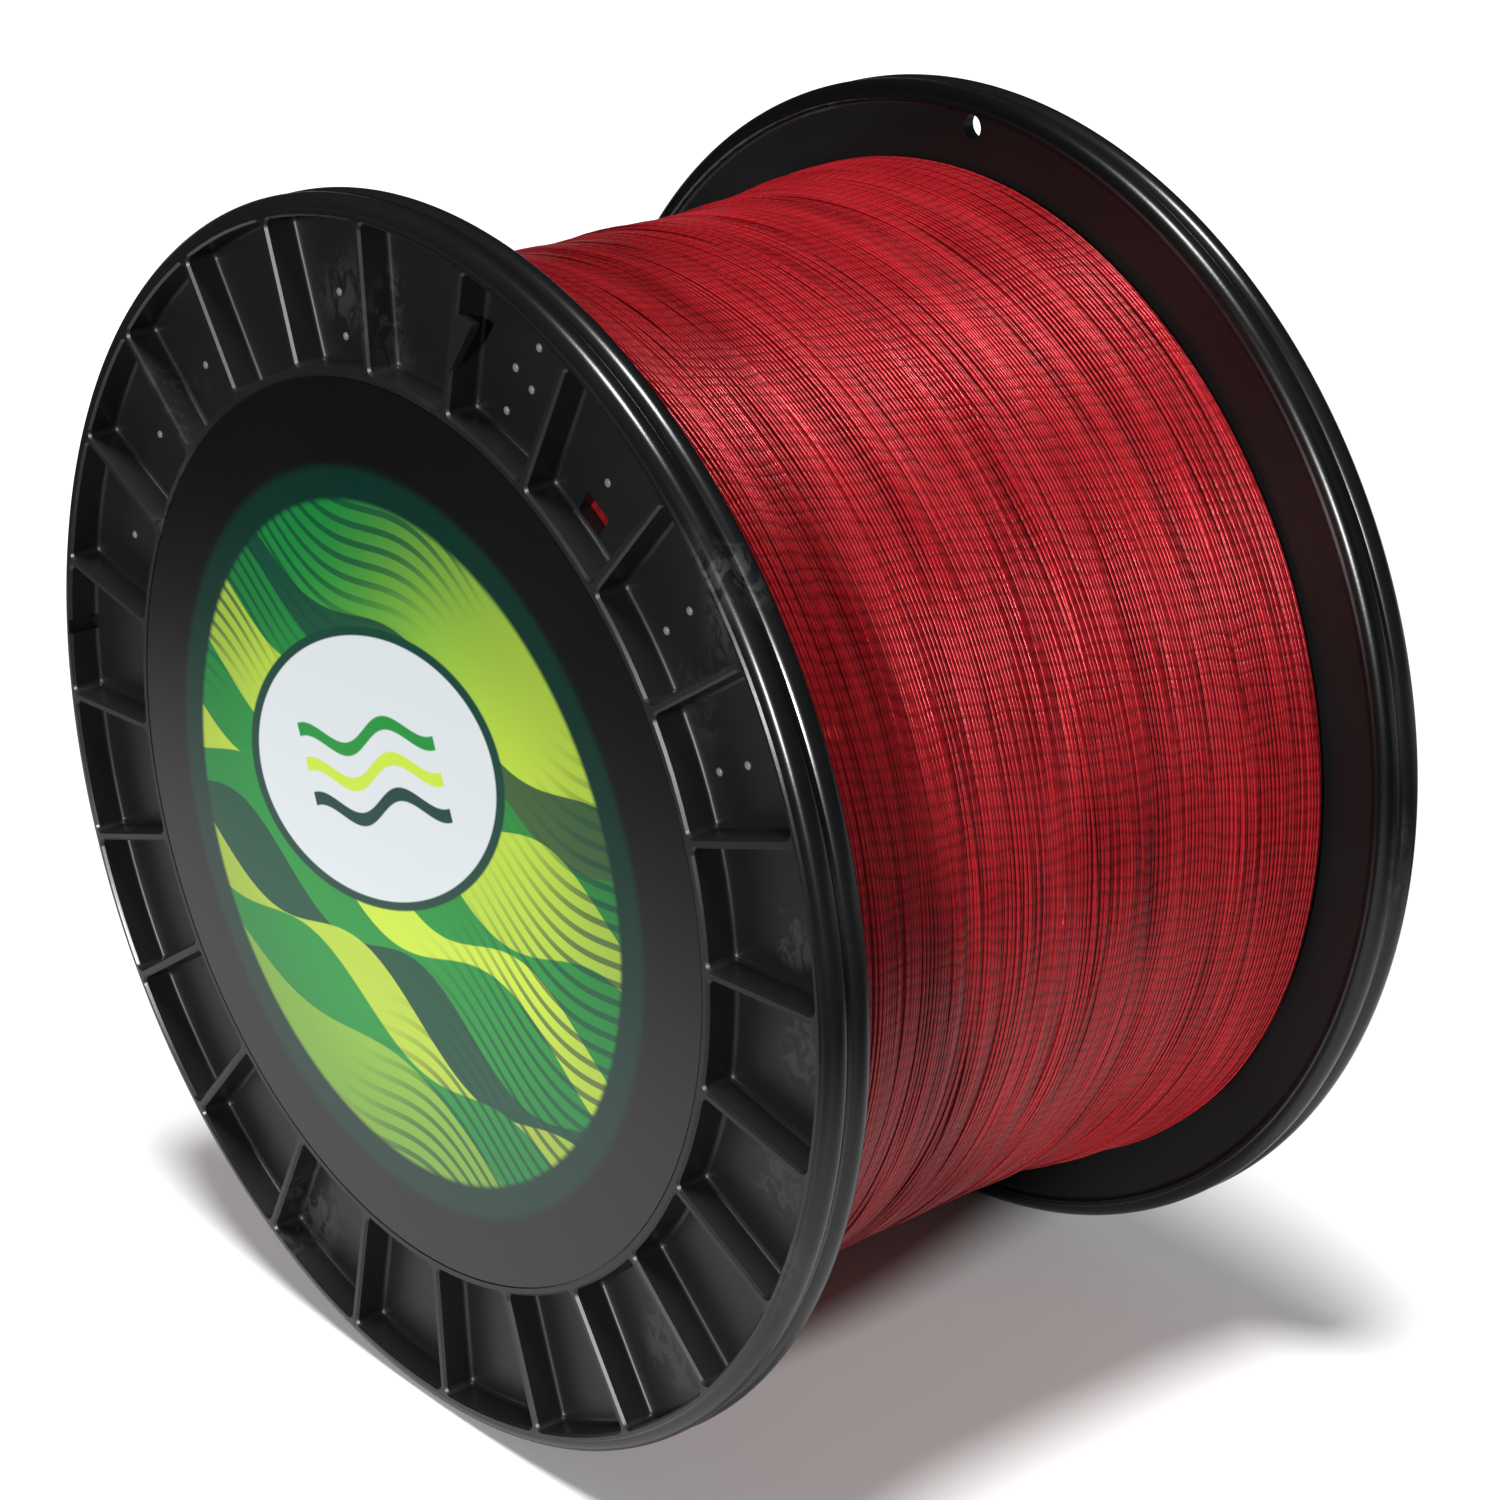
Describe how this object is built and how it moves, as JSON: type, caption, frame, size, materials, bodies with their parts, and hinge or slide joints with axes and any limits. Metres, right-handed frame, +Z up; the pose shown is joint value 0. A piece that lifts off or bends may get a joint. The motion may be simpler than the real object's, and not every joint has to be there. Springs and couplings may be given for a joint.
{
  "type": "fishing line spool",
  "caption": "Bulk spool of braided fishing line: ribbed black flanges with beaded rims on a wound barrel, a round label on the front hub and a plain arbor bore.",
  "frame": {"origin": "centre of the spool, on its axis and half way between the flanges' outer faces", "axes": "+Y along the spool's axis from the label face to the rear face, +Z up with the spool lying on its rims, +X to the right seen from the label"},
  "size_m": [0.127, 0.0778, 0.127],
  "materials": {
    "black_plastic": "semi-gloss moulded",
    "core_plastic": "matte extruded",
    "label_film": "glossy printed film",
    "braided_line": "tight waxy braid"
  },
  "bodies": {
    "root": {"front_flange": "black_plastic", "rear_flange": "black_plastic", "barrel_tube": "core_plastic", "arbor_tube": "core_plastic", "front_label": "label_film", "line_pack": "braided_line", "line_outer_turns": "braided_line"}
  },
  "joints": []
}
